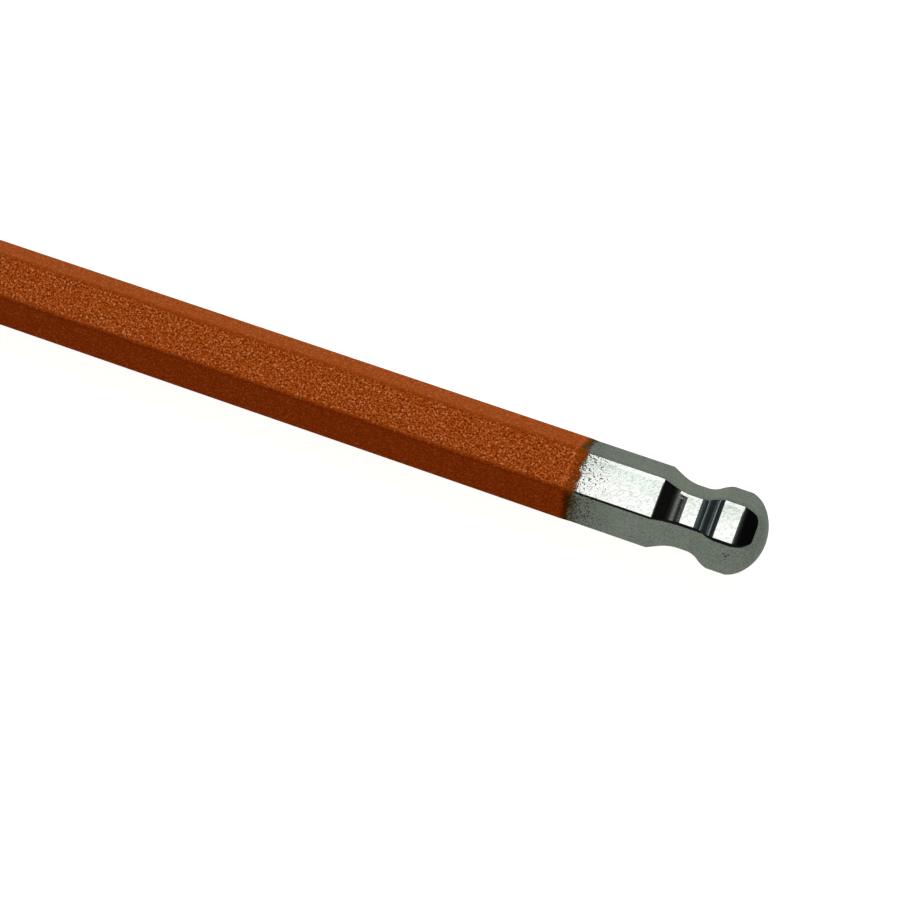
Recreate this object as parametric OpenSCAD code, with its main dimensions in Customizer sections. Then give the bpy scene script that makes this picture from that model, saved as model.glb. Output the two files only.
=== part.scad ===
// Ball-end hex key: an L-shaped bar of hexagonal steel with a powder coat
// that leaves both working ends bare.
// It lies on one flat. The origin is on the surface under it, at the middle of
// its outline. +X runs along the long arm to the ball, +Y along the short arm.

/* [Bar] */
// Size across the flats of the bare hexagonal bar
across_flats = 8; // [6:0.5:10]
// Radius of the bar's six long edges
edge_radius = 0.38; // [0.34:0.02:0.6]
// Overall length along the long arm, from the back of the bend to the tip
long_arm = 160; // [110:1:240]
// Overall length along the short arm, from the back of the bend to its end
short_arm = 44; // [40:1:80]
// Radius of the bend at the middle of the bar
bend_radius = 12; // [9:0.5:15]

/* [Ball] */
// How far the ball's round profile would stand over the bar's flats
ball_rise = 0.13; // [0.04:0.01:0.25]
// Radius of the turned nose
nose_radius = 5.7; // [5.4:0.1:8]
// How far the nose is turned back from the full round of the ball
nose_cut = 0.28; // [0.15:0.01:0.6]

/* [Neck] */
// Depth of the neck's faces under the bar's flats
neck_depth = 0.9; // [0.5:0.05:1.2]
// Length of the straight stretch at the bottom of the neck
neck_straight = 0.6; // [0.2:0.1:3]
// Radius of the hollow between the ball and the neck
ball_hollow_radius = 2.5; // [1:0.1:4]
// Radius of the hollow between the neck and the shoulder
neck_hollow_radius = 6.7; // [3:0.1:9]
// Radius of the rounded top of the shoulder
shoulder_radius = 0.8; // [0.5:0.1:4]
// Radius of the ground edges between the ball end's faces
ground_edge_radius = 0.3; // [0.05:0.05:0.3]

/* [Finish] */
// Thickness of the powder coat
coat_thickness = 0.06; // [0.03:0.01:0.2]
// Bare length at the ball end, from the tip to the coat
bare_ball_end = 20; // [17:0.5:40]
// Bare length at the short arm's end
bare_short_end = 12; // [4:0.5:16]
// Chamfer round the short arm's end
end_chamfer = 0.7; // [0.3:0.1:1.2]

/* [Hidden] */
face_count = 6;
face_angle = 360 / face_count;
arc_step = 5;      // degrees between the points of a rounded profile
edge_steps = 4;    // flats that round each long edge
lap = 1;           // how far the bare bar runs on under the coat
room = 2;          // how far a cutting solid runs past what it cuts
coat_colour = [0.56, 0.25, 0.08];
steel_colour = [0.62, 0.64, 0.62];

half_flats = across_flats / 2;
half_corners = corner_reach(half_flats, edge_radius);
coated_half_flats = half_flats + coat_thickness;
coated_edge_radius = edge_radius + coat_thickness;
coated_half_corners = half_corners + coat_thickness;

// The ball end's profile, as heights over the axis and distances behind the
// ball's centre
ball_radius = half_flats + ball_rise;
nose_reach = ball_radius - nose_cut;
neck_half = half_flats - neck_depth;
crown_angle = acos(half_flats / ball_radius);
hollow_angle = acos((neck_half + ball_hollow_radius) / (ball_radius + ball_hollow_radius));
neck_start = (ball_radius + ball_hollow_radius) * sin(hollow_angle);
neck_end = neck_start + neck_straight;
shoulder_angle = acos(1 - neck_depth / (neck_hollow_radius + shoulder_radius));
shoulder_end = neck_end + (neck_hollow_radius + shoulder_radius) * sin(shoulder_angle);
coat_start = bare_ball_end - nose_reach;

// Places along the long arm, measured from the middle of the short arm
tip_x = long_arm - coated_half_corners;
ball_x = tip_x - nose_reach;
coat_end_x = ball_x - coat_start;
// Places along the short arm, measured from the middle of the long arm
end_y = short_arm - coated_half_corners;
coat_end_y = end_y - bare_short_end;

// Half the width across two rounded corners of a hexagon
function corner_reach(half, radius) = (half - radius) / cos(face_angle / 2) + radius;

// Points on an arc about [x, y], from one bearing to another
function arc(x, y, radius, from, to) =
    let (count = max(1, ceil(abs(to - from) / arc_step)))
    [for (i = [0 : count])
        let (bearing = from + (to - from) * i / count)
        [x + radius * cos(bearing), y + radius * sin(bearing)]];

// One face of the ball end, from the front of the ball to the top of the shoulder:
// ball, hollow, neck, hollow and shoulder, each tangent to the next, and the bar's
// own flat left standing as the crown of the ball
function face_line() = concat(
    arc(0, 0, ball_radius, 180, 90 + crown_angle),
    arc(0, 0, ball_radius, 90 - crown_angle, 90 - hollow_angle),
    arc(neck_start, neck_half + ball_hollow_radius, ball_hollow_radius, 270 - hollow_angle, 270),
    arc(neck_end, neck_half + neck_hollow_radius, neck_hollow_radius, 270, 270 + shoulder_angle),
    arc(shoulder_end, half_flats - shoulder_radius, shoulder_radius, 90 + shoulder_angle, 90)
);

// Hexagonal section with two flats level and a rounded corner at each side
module bar_section(half, radius) {
    corner = (half - radius) / cos(face_angle / 2);
    polygon([for (side = [0 : face_count - 1], step = [0 : edge_steps])
        let (bearing = side * face_angle + face_angle * (step / edge_steps - 0.5))
        [corner * cos(side * face_angle) + radius * cos(bearing),
         corner * sin(side * face_angle) + radius * sin(bearing)]]);
}

// Straight bar along +X
module bar_along_x(start, end, half, radius) {
    translate([start, 0, 0])
        rotate([90, 0, 90])
            linear_extrude(height = end - start)
                bar_section(half, radius);
}

// Straight bar along +Y
module bar_along_y(start, end, half, radius) {
    translate([0, start, 0])
        rotate([90, 0, 180])
            linear_extrude(height = end - start)
                bar_section(half, radius);
}

// The coated middle of the key: both straights and the bend between them
module coated_bar() {
    color(coat_colour) {
        bar_along_x(bend_radius, coat_end_x, coated_half_flats, coated_edge_radius);
        translate([bend_radius, bend_radius, 0])
            rotate([0, 0, 180])
                rotate_extrude(angle = 90)
                    translate([bend_radius, 0])
                        bar_section(coated_half_flats, coated_edge_radius);
        bar_along_y(bend_radius, coat_end_y, coated_half_flats, coated_edge_radius);
    }
}

// Solid between two opposite faces of the ball end, wider than the bar
module face_band() {
    line = concat(face_line(), [[coat_start + lap + room, half_flats]]);
    below = [for (i = [len(line) - 1 : -1 : 1]) [line[i].x, -line[i].y]];
    rotate([90, 0, 0])
        linear_extrude(height = across_flats * 2, center = true)
            polygon(concat(line, below));
}

// Half outline of the turning that breaks the ground edges along the same profile
module edge_outline() {
    line = face_line();
    polygon(concat(
        [[0, line[0].x]],
        [for (i = [1 : len(line) - 1])
            [corner_reach(line[i].y, min(ground_edge_radius, line[i].y)), line[i].x]],
        [[half_corners + room, shoulder_end],
         [half_corners + room, coat_start + lap + room],
         [0, coat_start + lap + room]]
    ));
}

// Half outline of the turning that rounds the nose
module nose_outline() {
    front = arc(nose_radius - nose_reach, 0, nose_radius, 180, 90);
    polygon(concat(
        [[0, -nose_reach]],
        [for (i = [1 : len(front) - 1]) [front[i].y, front[i].x]],
        [[nose_radius, nose_radius],
         [half_corners + room * 2, nose_radius + room],
         [half_corners + room * 2, coat_start + lap + room * 2],
         [0, coat_start + lap + room * 2]]
    ));
}

// Bare end of the long arm: the hexagonal bar cut by three pairs of faces and
// one turning, which leave the ball, its neck and the shoulder
module ball_end() {
    color(steel_colour)
        translate([ball_x, 0, 0])
            mirror([1, 0, 0])
                intersection() {
                    bar_along_x(-nose_reach - room, coat_start + lap, half_flats, edge_radius);
                    intersection_for (turn = [0 : face_angle : 180 - face_angle])
                        rotate([turn, 0, 0])
                            face_band();
                    rotate([0, 90, 0])
                        rotate_extrude()
                            intersection() {
                                edge_outline();
                                nose_outline();
                            }
                }
}

// Bare end of the short arm, cut square and chamfered by turning
module short_end() {
    start = coat_end_y - lap;
    length = end_y - start;
    color(steel_colour)
        intersection() {
            bar_along_y(start, end_y, half_flats, edge_radius);
            translate([0, start, 0])
                rotate([-90, 0, 0])
                    rotate_extrude()
                        polygon([
                            [0, -room],
                            [half_corners + room, -room],
                            [half_corners + room, length - end_chamfer - room],
                            [half_corners - end_chamfer, length],
                            [0, length]
                        ]);
        }
}

module hex_key() {
    translate([
        (coated_half_corners - tip_x) / 2,
        (coated_half_corners - end_y) / 2,
        coated_half_flats
    ]) {
        coated_bar();
        ball_end();
        short_end();
    }
}

hex_key();
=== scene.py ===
import math

import bpy
import numpy as np
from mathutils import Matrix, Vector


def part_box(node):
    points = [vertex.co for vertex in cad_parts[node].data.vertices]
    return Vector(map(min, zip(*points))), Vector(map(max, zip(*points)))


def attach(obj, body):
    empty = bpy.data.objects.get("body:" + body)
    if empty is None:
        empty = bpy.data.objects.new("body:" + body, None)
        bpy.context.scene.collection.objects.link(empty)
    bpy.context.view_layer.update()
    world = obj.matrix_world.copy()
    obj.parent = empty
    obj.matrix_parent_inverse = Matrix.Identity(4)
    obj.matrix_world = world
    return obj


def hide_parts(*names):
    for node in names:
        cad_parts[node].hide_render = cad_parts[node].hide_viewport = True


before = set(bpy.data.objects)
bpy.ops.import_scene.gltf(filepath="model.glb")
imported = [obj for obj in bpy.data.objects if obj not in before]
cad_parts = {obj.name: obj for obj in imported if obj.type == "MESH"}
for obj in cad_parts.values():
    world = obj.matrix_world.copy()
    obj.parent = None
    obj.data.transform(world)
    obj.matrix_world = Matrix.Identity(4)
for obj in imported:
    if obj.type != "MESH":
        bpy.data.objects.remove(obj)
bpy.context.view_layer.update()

mm = 0.001


# Shader maths: a Wire is one output socket that Python's operators work on, and a
# Graph adds every other node from its type, its settings and its sockets.
class Wire:
    def __init__(self, graph, socket):
        self.graph, self.socket = graph, socket

    def maths(self, operation, *values):
        return self.graph.add("ShaderNodeMath", {"operation": operation}, values)

    def __add__(self, other):
        return self.maths("ADD", self, other)

    def __radd__(self, other):
        return self.maths("ADD", other, self)

    def __sub__(self, other):
        return self.maths("SUBTRACT", self, other)

    def __rsub__(self, other):
        return self.maths("SUBTRACT", other, self)

    def __mul__(self, other):
        return self.maths("MULTIPLY", self, other)

    def __rmul__(self, other):
        return self.maths("MULTIPLY", other, self)

    def size(self):
        return self.maths("ABSOLUTE", self)

    def largest(self, other):
        return self.maths("MAXIMUM", self, other)

    def ramp(self, start, end, low=0.0, high=1.0):      # smooth step from low to high
        return self.graph.add("ShaderNodeMapRange", {"interpolation_type": "SMOOTHSTEP"},
                              (self, start, end, low, high))

    def within(self, start, end, soft):                 # 1 between start and end, 0 outside
        rise = self.ramp(start - soft, start + soft)
        return rise * self.ramp(end - soft, end + soft, 1.0, 0.0)


class Graph:
    def __init__(self, tree):
        self.tree = tree
        tree.nodes.clear()

    # settings go in before sockets; inputs is a list in socket order or a dictionary
    def add(self, kind, settings=None, inputs=(), output=0):
        node = self.tree.nodes.new(kind)
        for name, value in (settings or {}).items():
            setattr(node, name, value)
        pairs = inputs.items() if isinstance(inputs, dict) else enumerate(inputs)
        for name, value in pairs:
            if isinstance(value, Wire):
                self.tree.links.new(value.socket, node.inputs[name])
            else:
                node.inputs[name].default_value = value
        return Wire(self, node.outputs[output]) if len(node.outputs) else None

    def also(self, wire, output):               # another output of a wire's node
        return Wire(self, wire.socket.node.outputs[output])

    def separate(self, vector):
        first = self.add("ShaderNodeSeparateXYZ", {}, [vector])
        return [self.also(first, axis) for axis in range(3)]

    def combine(self, x, y, z=0.0):
        return self.add("ShaderNodeCombineXYZ", {}, [x, y, z])

    def vector(self, operation, first, second, output=0):
        inputs = {0: first, "Scale" if operation == "SCALE" else 1: second}
        return self.add("ShaderNodeVectorMath", {"operation": operation}, inputs, output)

    def mixColour(self, share, first, second):
        return self.add("ShaderNodeMix", {"data_type": "RGBA"},
                        {0: share, 6: first, 7: second}, output=2)

    def noise(self, place, size, detail=2.0, roughness=0.5, distortion=0.0):
        return self.add("ShaderNodeTexNoise", {}, {
            "Vector": place, "Scale": 1.0 / size, "Detail": detail,
            "Roughness": roughness, "Distortion": distortion})


# The key's own sizes. Most repeat the construction's; the nose, the neck, the shoulder,
# the edges at the ball end and the coat's build-up are set closer to the photo.
key = {
    "acrossFlats": 8.0,
    "edgeRadius": 0.38,
    "coat": 0.06,
    "bendRadius": 12.0,
    "bareBallEnd": 20.0,
    "bareShortEnd": 12.0,
    "endChamfer": 0.7,
    "noseReach": 3.95,
    "noseRadius": 5.5,
    "noseBlend": 0.12,              # softness of the edge between the nose and the faces
    "ballRadius": 4.13,
    "crownBlend": 0.01,             # softness of the crown's edges
    "neckHalf": 3.1,
    "neckStraight": 0.85,
    "ballHollow": 2.5,
    "neckHollow": 5.3,
    "flankAngle": 22.5,
    "shoulder": 0.5,
    "ballEdge": 0.48,               # radii of the ground edges on the ball and the neck
    "neckEdge": 0.45,
    "ballReach": (1.2, 3.2),        # where the ball's edges change into the neck's
    "neckReach": (5.0, 7.8),        # and the neck's into the bare bar's
    "bareEdge": 0.33,
    "outerEdge": 0.55,              # share of the ground radius at the two outer corners
    "coatBody": 0.053,              # the coat's build-up away from its end
    "coatSwell": 0.006,             # and its swelling, by distance past its nominal end
    "swellAt": -1.35,
    "swellWidth": 0.3,
    "thinFrom": -1.1,               # where it starts to thin out to nothing
    "thinLength": 1.15,
    "thinPower": 1.5,
    "edgeChange": 0.4,              # length over which the coated edges turn into bare ones
    "sideBand": (3.55, 3.9),        # heights over the axis between the sides and the top
}

halfFlats = key["acrossFlats"] / 2
cos30 = math.cos(math.radians(30))


def cornerReach(half, radius):              # half the width across rounded corners
    return (half - radius) / cos30 + radius


low, high = [[value / mm for value in corner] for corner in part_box("hex_key")]
halfCorners = cornerReach(halfFlats, key["edgeRadius"])
axisZ = low[2] + halfFlats + key["coat"]
longAxisY = low[1] + halfCorners + key["coat"]
shortAxisX = low[0] + halfCorners + key["coat"]
tipX, endY = high[0], high[1]
ballX = tipX - key["noseReach"]
coatEndX = tipX - key["bareBallEnd"]
coatEndY = endY - key["bareShortEnd"]
bendX = shortAxisX + key["bendRadius"]
bendY = longAxisY + key["bendRadius"]


def smoothMin(first, second, soft):
    # the smaller value, with a parabola of half width soft over the crossing
    share = np.clip(0.5 + 0.5 * (second - first) / soft, 0, 1)
    return second + (first - second) * share - soft * share * (1 - share)


def faceHeight(behind):
    # height of a face over the axis at a distance behind the ball's centre:
    # sqrt(R^2 - s^2) on the ball, R' - sqrt(r^2 - (s - s0)^2) in each hollow, a straight
    # flank, and H - r + sqrt(r^2 - (s - s1)^2) on the shoulder
    ball, hollow = key["ballRadius"], key["ballHollow"]
    neck, concave, convex = key["neckHalf"], key["neckHollow"], key["shoulder"]
    hollowAngle = math.acos((neck + hollow) / (ball + hollow))
    neckStart = (ball + hollow) * math.sin(hollowAngle)
    neckEnd = neckStart + key["neckStraight"]
    flank = math.radians(key["flankAngle"])
    flankStart = neckEnd + concave * math.sin(flank)
    flankFoot = neck + concave * (1 - math.cos(flank))
    flankTop = halfFlats - convex * (1 - math.cos(flank))
    flankEnd = flankStart + (flankTop - flankFoot) / math.tan(flank)
    shoulderTop = flankEnd + convex * math.sin(flank)

    def bow(radius, offset):
        return np.sqrt(np.maximum(radius ** 2 - offset ** 2, 0))

    return np.select(
        [behind < ball * math.sin(hollowAngle), behind < neckStart, behind < neckEnd,
         behind < flankStart, behind < flankEnd, behind < shoulderTop],
        [smoothMin(bow(ball, behind), halfFlats, key["crownBlend"]),
         neck + hollow - bow(hollow, behind - neckStart),
         neck,
         neck + concave - bow(concave, behind - neckEnd),
         flankFoot + (behind - flankStart) * math.tan(flank),
         halfFlats - convex + bow(convex, behind - shoulderTop)],
        halfFlats)


def steps(start, *runs):                    # values from start on, in runs of (end, gap)
    values = []
    for end, gap in runs:
        count = max(2, math.ceil(abs(end - start) / gap))
        values.append(np.linspace(start, end, count, endpoint=False))
        start = end
    return np.concatenate(values + [[start]])


def centreLine():
    # stations from the short arm's end through the bend to the tip, each a place and a
    # heading: a straight, a quarter circle c + R (cos t, sin t), and a straight
    shortRun = steps(endY, (endY - key["endChamfer"], 0.12), (coatEndY + 0.6, 1.0),
                     (coatEndY - 1.6, 0.1), (bendY, 1.0))
    turn = np.radians(steps(180.0, (270.0, 2.0))[1:-1])
    longRun = steps(bendX, (0.0, 0.7), (coatEndX - 3.0, 0.45), (coatEndX + 0.8, 0.07),
                    (ballX - 8.0, 0.25), (ballX - 7.1, 0.03), (ballX + 2.4, 0.05),
                    (tipX - 0.01, 0.06))
    x = np.concatenate([np.full(len(shortRun), shortAxisX),
                        bendX + key["bendRadius"] * np.cos(turn), longRun])
    y = np.concatenate([shortRun, bendY + key["bendRadius"] * np.sin(turn),
                        np.full(len(longRun), longAxisY)])
    heading = np.concatenate([np.full(len(shortRun), -np.pi / 2), turn + np.pi / 2,
                              np.zeros(len(longRun))])
    return x, y, heading


def barSurface():
    # a rounded hexagon carried along the centre line: place + section (side, up)
    centreX, centreY, heading = centreLine()
    onLong, onShort = heading == 0, heading == -np.pi / 2
    behind = ballX - centreX
    never = 99                              # stands for a limit that doesn't bind
    bare = np.maximum(centreX - coatEndX, np.where(onShort, centreY - coatEndY, -never))
    # the coat's build-up, (body + swell exp(-((d - d0) / w)^2)) (1 - share^power)
    swell = key["coatSwell"] * np.exp(-((bare - key["swellAt"]) / key["swellWidth"]) ** 2)
    thinned = np.clip((bare - key["thinFrom"]) / key["thinLength"], 0, 1)
    coat = (key["coatBody"] + swell) * (1 - thinned ** key["thinPower"])
    height = np.where(onLong, faceHeight(np.where(onLong, behind, never)), halfFlats) + coat

    # radii of the long edges: coated, bare, on the neck and on the ball
    ballShare = np.interp(behind, key["ballReach"], [1, 0])
    neckShare = np.interp(behind, key["neckReach"], [1, 0])
    bareShare = np.clip(bare / key["edgeChange"], 0, 1)
    edge = key["edgeRadius"] * (1 - bareShare) + key["bareEdge"] * bareShare
    ground = key["neckEdge"] * (1 - ballShare) + key["ballEdge"] * ballShare
    edge = np.where(onLong, edge * (1 - neckShare) + ground * neckShare, edge)
    outer = edge * np.where(onLong, 1 - neckShare * (1 - key["outerEdge"]), 1)
    radii = [(outer if side % 3 == 0 else edge) + coat for side in range(7)]

    # the turning that rounds the nose, sqrt(r^2 - (r - s)^2), and chamfers the short end
    fromNose = key["noseReach"] + behind
    nose = np.sqrt(np.maximum(key["noseRadius"] ** 2 - (key["noseRadius"] - fromNose) ** 2, 0))
    nose = np.where(onLong & (fromNose < key["noseRadius"]), nose, never)
    chamfer = halfCorners - key["endChamfer"] + endY - centreY
    limit = np.minimum(nose, np.where(onShort, chamfer, never))

    # section: six flats and six rounded corners, as corner centre + r (cos b, sin b)
    flatCuts, arcCuts = 13, 6
    arcBearing = np.radians(np.linspace(-30, 30, arcCuts + 1))

    def roundedCorner(corner, radius, bearings):
        reach = ((height - radius) / cos30)[:, None]
        return np.stack([reach * math.cos(corner) + radius[:, None] * np.cos(corner + bearings),
                         reach * math.sin(corner) + radius[:, None] * np.sin(corner + bearings)],
                        -1)

    sides = []
    for side in range(6):
        corner = math.radians(60 * side)
        following = corner + math.radians(60)
        arc = roundedCorner(corner, radii[side], arcBearing)
        begin = arc[:, -1]
        finish = roundedCorner(following, radii[side + 1], arcBearing[:1])[:, 0]
        share = np.linspace(0, 1, flatCuts + 1)[1:-1]
        flat = begin[:, None] + (finish - begin)[:, None] * share[None, :, None]
        sides += [arc, flat]
    section = np.concatenate(sides, axis=1)             # station, around, (side, up)
    length = np.linalg.norm(section, axis=2)
    soft = np.minimum(key["noseBlend"], limit * 0.2)[:, None]
    section = section * (smoothMin(length, limit[:, None], soft) / length)[..., None]

    # the flat end of the short arm, closed in rings down to its middle
    capShares = np.array([0.02, 0.25, 0.5, 0.75])[:, None, None]
    section = np.concatenate([section[:1] * capShares, section])
    repeat = np.concatenate([np.zeros(len(capShares), int), np.arange(len(centreX))])
    centreX, centreY, heading = centreX[repeat], centreY[repeat], heading[repeat]
    x = centreX[:, None] + section[..., 0] * np.sin(heading)[:, None]
    y = centreY[:, None] - section[..., 0] * np.cos(heading)[:, None]
    z = axisZ + section[..., 1]
    return np.stack([x, y, z], -1), np.array([centreX[0], centreY[0], axisZ])


def closedMesh(name, rings, firstPole, lastPole):
    # rings of points joined by quads, and fans to a pole at each end
    count, around = rings.shape[:2]
    points = np.concatenate([rings.reshape(-1, 3), [firstPole, lastPole]]) * mm
    loop = np.arange(around)
    following = (loop + 1) % around
    ring = np.arange(count - 1)[:, None] * around
    here, there = ring + loop[None], ring + following[None]
    quads = np.stack([here, here + around, there + around, there], -1).reshape(-1, 4)
    lastRing = (count - 1) * around
    first = np.stack([np.full(around, count * around), loop, following], -1)
    last = np.stack([np.full(around, count * around + 1), lastRing + following,
                     lastRing + loop], -1)
    mesh = bpy.data.meshes.new(name)
    mesh.from_pydata(points.tolist(), [], quads.tolist() + first.tolist() + last.tolist())
    mesh.shade_smooth()
    mesh.update()
    piece = bpy.data.objects.new(name, mesh)
    bpy.context.scene.collection.objects.link(piece)
    return piece


rings, endPole = barSurface()
hexKey = closedMesh("hexKey", rings, endPole, [tipX, longAxisY, axisZ])
print("hexKey:", len(rings), "rings,", len(hexKey.data.polygons), "faces")


coatLook = {
    "orange": (0.570, 0.087, 0.006, 1),
    "paintedShadeOrange": (0.29, 0.027, 0.0005, 1),     # painted shade between the grains and along the flats' edges
    "paintedHighlightOrange": (1.0, 0.205, 0.045, 1),       # painted highlight on the grains
    "paintedGlint": (1.0, 0.41, 0.22, 1),            # painted glint on the highest grains
    "thinOrange": (0.36, 0.066, 0.006, 1),      # where the coat thins out
    "brown": (0.065, 0.034, 0.006, 1),          # overspray
    "grainSize": 0.22,
    "grainDepth": 0.22,
    "coatStep": 0.02,
    "roughness": 0.38,
    "specular": 0.012,
    "fineSize": 0.16,               # of the two noises that make its end ragged
    "wideSize": 1.1,
    "edgeBand": (1.85, 2.25),       # distance from a flat's middle where the grain's painted highlights and shade fade
    "paintedEdgeShade": (1.9, 2.15),        # and where a line of painted shade begins
    "fineShare": 1.3,               # how far the fine and the wide noise move its end
    "wideShare": 0.5,
    "sideShift": 0.27,              # how much earlier it ends on the side faces
    "softness": (0.05, 0.28),       # of its end on the flats, and added on the side faces
    "thin": (-1.15, -0.75),         # these three by distance past its nominal end
    "ridgeHighlight": (-1.60, -1.25, 0.10),
    "overspray": (-0.7, -0.3, 0.42),
    "oversprayOnSides": 0.58,       # how much further it reaches on the side faces
}
steelLook = {
    "bright": (0.79, 0.80, 0.775, 1),
    "dull": (0.37, 0.385, 0.355, 1),
    "speck": (0.06, 0.055, 0.042, 1),
    "roughness": 0.014,
    "cloudSize": 2.2,               # broad clouds and short strokes of the satin
    "strokeSize": 0.35,
    "waveSize": 0.9,
    "waveDepth": 0.00015,
    "neckWaveDepth": 0.0018,
    "neck": (ballX - 7.4, ballX - 1.8, 0.4),
    "noseDulling": (tipX - 2.4, tipX - 0.8, 0.2),
    "speckLevels": (0.032, 0.06),
    "speckStart": 0.4,              # from here past the coat's end specks get fewer
    "speckFade": 0.040,
    "lowerSpecks": 0.055,           # more specks on the side away from the short arm
    "speckHeight": 0.010,
    "pitDepth": 0.02,
}
# small pits on the ball's lower side face: places along, across and up, and radius
pits = [(76.50, -20.40, 6.81, 0.11), (77.02, -20.36, 6.89, 0.09), (76.78, -20.55, 6.58, 0.13),
        (76.80, -20.78, 6.17, 0.07)]


def keyFinish():
    material = bpy.data.materials.new("coatedSteel")
    material.use_nodes = True
    graph = Graph(material.node_tree)
    place = graph.add("ShaderNodeTexCoord", {}, (), "Object")
    place = graph.vector("SCALE", place, 1 / mm)
    x, y, z = graph.separate(place)

    # signed distance past the coat's ends, bare steel where it is above zero
    past = (x - coatEndX).largest(y - coatEndY)
    sideFace = (z - axisZ).size().ramp(*key["sideBand"], 1.0, 0.0)
    # distance from the middle of a flat, across the bar: |length of (min(p, bend) - bend) - R|
    bend = (bendX, bendY, 0)
    corner = graph.vector("MINIMUM", graph.combine(x, y), bend)
    across = (graph.vector("DISTANCE", corner, bend, "Value") - key["bendRadius"]).size()

    fine = graph.noise(place, coatLook["fineSize"], 2.0, 0.6) - 0.5
    wide = graph.noise(place, coatLook["wideSize"], 1.0) - 0.5
    edge = past + fine * coatLook["fineShare"] + wide * coatLook["wideShare"]
    edge = edge + sideFace * coatLook["sideShift"]
    softness, sideSoftness = coatLook["softness"]
    soft = sideFace * sideSoftness + softness
    covered = (edge + softness).ramp(soft * -1, soft, 1.0, 0.0)

    # thinner coat before the edge, a painted highlight on a low ridge behind that, and brown
    # overspray past it that is wide on the side faces
    thin = (past + wide * 0.5).ramp(*coatLook["thin"])
    ridgeHighlight = (past + wide * 0.4).within(*coatLook["ridgeHighlight"])
    sprayStart, sprayEnd, spraySoft = coatLook["overspray"]
    overspray = (edge + fine).within(
        sprayStart, sideFace * coatLook["oversprayOnSides"] + sprayEnd, spraySoft)
    overspray = overspray * (sideFace * 0.6 + 0.4)
    # dark specks on the steel, fewer with the distance
    lower = sideFace * (y - longAxisY).ramp(-0.5, 0.5, steelLook["lowerSpecks"], 0.0)
    fade = past.largest(steelLook["speckStart"]) * steelLook["speckFade"]
    specks = (fine + wide * 0.12 + lower - fade).ramp(*steelLook["speckLevels"])
    specks = specks * past.ramp(-0.3, 0.1)

    # the coat's grain in colour: painted highlights on its crests, painted shade in its hollows
    # and a line of painted shade along the flats' edges, weaker towards the edges and on the
    # sides
    grain = graph.noise(place, coatLook["grainSize"], 2.0, 0.6, 0.4)
    paintedGrainShare = across.ramp(*coatLook["edgeBand"], 1.0, 0.4)
    paintedHighlight = (grain + ridgeHighlight * 0.08).ramp(0.46, 0.68) * paintedGrainShare * (1 - thin * 0.5)
    paintedEdgeShade = across.ramp(*coatLook["paintedEdgeShade"]) * (1 - sideFace) * 0.35
    orange = coatLook["orange"]
    for share, colour in [(grain.ramp(0.35, 0.50, 1.0, 0.0) * paintedGrainShare, "paintedShadeOrange"),
                          (paintedHighlight, "paintedHighlightOrange"),
                          (grain.ramp(0.59, 0.68) * paintedGrainShare, "paintedGlint"),
                          (paintedEdgeShade, "paintedShadeOrange"),
                          (thin * (0.55 + sideFace * 0.2), "thinOrange")]:
        orange = graph.mixColour(share, orange, coatLook[colour])

    # satin steel with short strokes across the bar at an angle, duller at the nose
    strokes = graph.combine((x + y) * 0.7, (x - y) * 2.2, z * 1.5)
    broad = graph.noise(place, steelLook["cloudSize"], 3.0, 0.6)
    satin = graph.noise(strokes, steelLook["strokeSize"], 2.0, 0.6)
    noseStart, noseEnd, noseShare = steelLook["noseDulling"]
    brightness = broad.ramp(0.35, 0.65) * 0.15 + satin.ramp(0.36, 0.64) * 0.45
    brightness = brightness + fine.ramp(-0.12, 0.12) * 0.4
    brightness = brightness - x.ramp(noseStart, noseEnd) * noseShare
    steel = graph.mixColour(brightness, steelLook["dull"], steelLook["bright"])
    dents = 0.0
    for along, aside, up, radius in pits:
        away = graph.vector("DISTANCE", place, (along, aside, up), "Value")
        dents = away.ramp(radius * 0.5, radius * 1.5, 1.0, 0.0) + dents
    marks = (specks * 0.95).largest(dents)
    steel = graph.mixColour(marks, steel, steelLook["speck"])

    colour = graph.mixColour(covered, steel, orange)
    colour = graph.mixColour(overspray * 0.85, colour, coatLook["brown"])
    metallic = (1 - covered) * (1 - marks * 0.8) * (1 - overspray)
    rough = steelLook["roughness"] + broad.ramp(0.3, 0.7) * 0.01
    rough = rough + (marks + overspray * 0.3) * 0.4
    rough = covered * (coatLook["roughness"] - rough) + rough

    # relief: the coat's grain and step, and the steel's waves, specks and pits
    wave = graph.noise(place, steelLook["waveSize"], 2.0, 0.5)
    waveDepth = x.within(*steelLook["neck"]) * (
        steelLook["neckWaveDepth"] - steelLook["waveDepth"]) + steelLook["waveDepth"]
    height = covered * (grain * coatLook["grainDepth"] + coatLook["coatStep"]) + (
        1 - covered) * (wave * waveDepth + specks * steelLook["speckHeight"]
                        - dents * steelLook["pitDepth"])
    normal = graph.add("ShaderNodeBump", {}, {"Strength": 1.0, "Distance": mm, "Height": height})
    shader = graph.add("ShaderNodeBsdfPrincipled", {}, {
        "Base Color": colour, "Metallic": metallic, "Roughness": rough,
        "Specular IOR Level": coatLook["specular"], "Normal": normal})
    graph.add("ShaderNodeOutputMaterial", {}, {"Surface": shader})
    return material


hexKey.data.materials.append(keyFinish())
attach(hexKey, "root")
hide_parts("hex_key")
print("finish done")


# Camera: an 85 mm lens close above the ball end. Fitted values, in camera axes
# (right, down, away), turned into the key's own axes.
view = {
    "lens": 85.0,
    "sensor": 36.0,
    "ballRight": 29.0224,
    "ballDown": 8.3525,
    "ballAway": 220.55,
    "keySlope": 18.8172,      # the long arm's slope down the picture
    "tipTowards": 5.237,
    "roll": 10.829,
}


def unit(vector):
    return vector / np.linalg.norm(vector)


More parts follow.
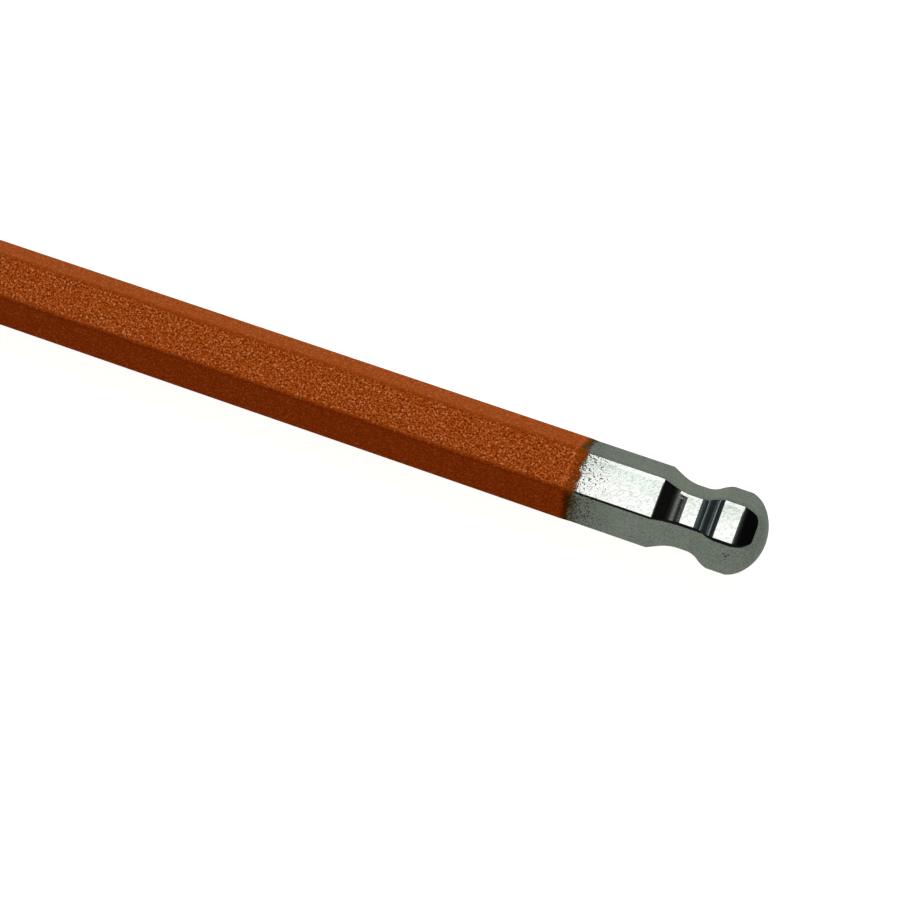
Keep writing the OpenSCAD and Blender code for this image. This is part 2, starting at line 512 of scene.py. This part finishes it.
def addCamera():
    ballSeen = np.array([view["ballRight"], view["ballDown"], view["ballAway"]])
    ray = unit(ballSeen)
    slope = math.radians(view["keySlope"])
    along = np.array([math.cos(slope), math.sin(slope), 0])
    along = unit(along - ray * (along @ ray))
    towards = math.radians(view["tipTowards"])
    keyX = math.cos(towards) * along - math.sin(towards) * ray
    facing = unit(-ray + keyX * (ray @ keyX))
    across = np.cross(facing, keyX)
    roll = math.radians(view["roll"])
    keyZ = math.cos(roll) * facing + math.sin(roll) * across
    keyY = math.cos(roll) * across - math.sin(roll) * facing
    toKey = np.array([keyX, keyY, keyZ])
    ball = np.array([ballX, longAxisY, axisZ])
    camera = bpy.data.objects.new("camera", bpy.data.cameras.new("camera"))
    bpy.context.scene.collection.objects.link(camera)
    camera.data.lens = view["lens"]
    camera.data.sensor_width = view["sensor"]
    camera.data.clip_start = 0.01
    matrix = np.eye(4)
    matrix[:3, :3] = toKey * [1, -1, -1]        # the camera's own axes go up and back
    matrix[:3, 3] = (ball - toKey @ ballSeen) * mm
    camera.matrix_world = matrix.T.tolist()
    bpy.context.scene.camera = camera


addCamera()


# Studio: a pale table and a soft fill light, and for the gloss a dim room with one
# softbox overhead and a panel beside it. A direction in the room is the angle from
# straight up towards +X, in degrees, and the share of it that points towards +Y.
studio = {
    "cloth": (0.45, 0.45, 0.45, 1),
    "clothLift": 0.94,                          # brings the table up to plain white
    "backdrop": (0.95, 0.95, 0.95, 1),
    "tableGloss": (0.243, 0.272, 0.234, 1),     # what the key mirrors of the table
    "ambient": (0.262, 0.205, 0.09, 1),
    "fillEnergy": 6.6,
    "fillColour": (0.90, 1.32, 1.6),
    "fillPlace": (0.0, 0.83, 0.83),             # metres
    "fillSize": 1.0,
    "boxAngle": (-15.8, 3.2),
    "boxLean": (0.10, 0.42),
    "panelAngle": (3.2, 22.5),
    "panelLean": (0.1975, 0.42),
    "white": (1.68, 1.68, 1.68, 1),
    "dullWhite": (1.12, 1.29, 1.19, 1),         # of a streak and a stretch beside it
    "streak": (0.1987, 0.2001, 0.0005),
    "streakSlope": 0.0004,
    "stretchStart": (0.188, 0.197),
    "stretchEnd": (0.1999, 0.2007),
    "roomLean": (0.08, 0.12),                   # nearer to the camera than this it is dark
    "wallLean": (0.43, 0.47),                   # and past this as grey as the table
    "darkEnd": (0.010, 0.011, 0.010, 1),
    "horizon": 0.14,
    "gloom": 0.004,                             # brightness where nothing in the room is lit
    # parts of the room by angle: rises from and to, falls from and to, and brightness
    "farWall": (-91, -90, 28, 41, 0.026),
    "sideWall": (-62, -58, -52, -48, 0.07),
    "stripLamp": (-53, -50, -50, -47, 0.38),
    "backWall": (-44, -20, 9, 13, 0.095),
    "screen": (15, 21.5, 21.5, 31, 0.20),
    "coolTint": (0.78, 1.0, 1.02, 1),           # the room's hue on the short arm's side
    "plainTint": (0.92, 1.0, 0.93, 1),
}


def addTable():
    half, drop = 6.0, 0.00001               # metres
    mesh = bpy.data.meshes.new("table")
    mesh.from_pydata([(-half, -half, -drop), (half, -half, -drop), (half, half, -drop),
                      (-half, half, -drop)], [], [(0, 1, 2, 3)])
    table = bpy.data.objects.new("table", mesh)
    bpy.context.scene.collection.objects.link(table)
    material = bpy.data.materials.new("table")
    material.use_nodes = True
    material.cycles.emission_sampling = "NONE"
    graph = Graph(material.node_tree)
    seen = graph.add("ShaderNodeLightPath", {}, (), "Is Camera Ray")
    glossy = graph.also(seen, "Is Glossy Ray")
    cloth = graph.add("ShaderNodeBsdfDiffuse", {}, {"Color": studio["cloth"]})
    lift = graph.add("ShaderNodeEmission", {}, {"Strength": studio["clothLift"]})
    shown = graph.add("ShaderNodeAddShader", {}, [cloth, lift])
    bounce = graph.mixColour(glossy, studio["ambient"], studio["tableGloss"])
    bounce = graph.add("ShaderNodeEmission", {}, {"Color": bounce})
    mixed = graph.add("ShaderNodeMixShader", {}, [seen, bounce, shown])
    graph.add("ShaderNodeOutputMaterial", {}, {"Surface": mixed})
    mesh.materials.append(material)


def addFill():
    fill = bpy.data.objects.new("fill", bpy.data.lights.new("fill", "AREA"))
    bpy.context.scene.collection.objects.link(fill)
    fill.data.shape = "DISK"
    fill.data.size = studio["fillSize"]
    fill.data.energy = studio["fillEnergy"]
    fill.data.color = studio["fillColour"]
    fill.location = studio["fillPlace"]
    fill.rotation_euler = fill.location.to_track_quat("Z", "Y").to_euler()
    fill.visible_glossy = False


def addRoom():
    world = bpy.data.worlds.new("room")
    bpy.context.scene.world = world
    world.use_nodes = True
    world.cycles.sampling_method = "NONE"
    graph = Graph(world.node_tree)
    seen = graph.add("ShaderNodeLightPath", {}, (), "Is Camera Ray")
    glossy = graph.also(seen, "Is Glossy Ray")
    x, lean, z = graph.separate(graph.add("ShaderNodeTexCoord", {}, (), "Generated"))
    angle = x.maths("ARCTAN2", x, z) * math.degrees(1)
    level = studio["gloom"]
    for name in ["farWall", "sideWall", "stripLamp", "backWall", "screen"]:
        riseStart, riseEnd, fallStart, fallEnd, bright = studio[name]
        lit = angle.ramp(riseStart, riseEnd) * angle.ramp(fallStart, fallEnd, bright, 0.0)
        level = lit + level
    tint = graph.mixColour(angle.ramp(-25, 10), studio["coolTint"], studio["plainTint"])
    room = graph.vector("SCALE", tint, level)

    # towards the camera's side it is dark, but for a glow over the horizon
    rise = z - x.ramp(-0.85, -0.6) * studio["horizon"]
    dark = graph.mixColour(rise.ramp(0.0, 0.36), studio["tableGloss"], studio["darkEnd"])
    room = graph.mixColour(lean.ramp(*studio["roomLean"]), dark, room)

    # the softbox and the panel, with the streak and the duller stretch beside it
    box = angle.within(*studio["boxAngle"], 0.5) * lean.within(*studio["boxLean"], 0.01)
    panel = angle.within(*studio["panelAngle"], 0.6) * lean.within(*studio["panelLean"], 0.0012)
    streak = lean - angle * studio["streakSlope"]
    stretch = streak.ramp(*studio["stretchStart"]) * streak.ramp(*studio["stretchEnd"], 1.0, 0.0)
    dull = streak.within(*studio["streak"]) * 0.55 + stretch * 0.45
    white = graph.mixColour(dull, studio["white"], studio["dullWhite"])
    room = graph.mixColour(box.largest(panel), room, white)
    wall = lean.ramp(*studio["wallLean"]).largest(rise.ramp(-0.02, 0.02, 1.0, 0.0))
    room = graph.mixColour(wall, room, studio["tableGloss"])

    # gloss sees the room, matt surfaces an even light, and the camera plain white
    room = graph.mixColour(glossy, studio["ambient"], room)
    room = graph.mixColour(seen, room, studio["backdrop"])
    back = graph.add("ShaderNodeBackground", {}, {"Color": room, "Strength": 1.0})
    graph.add("ShaderNodeOutputWorld", {}, {"Surface": back})


addTable()
addFill()
addRoom()
bpy.context.scene.view_settings.view_transform = "Standard"
print("studio done")
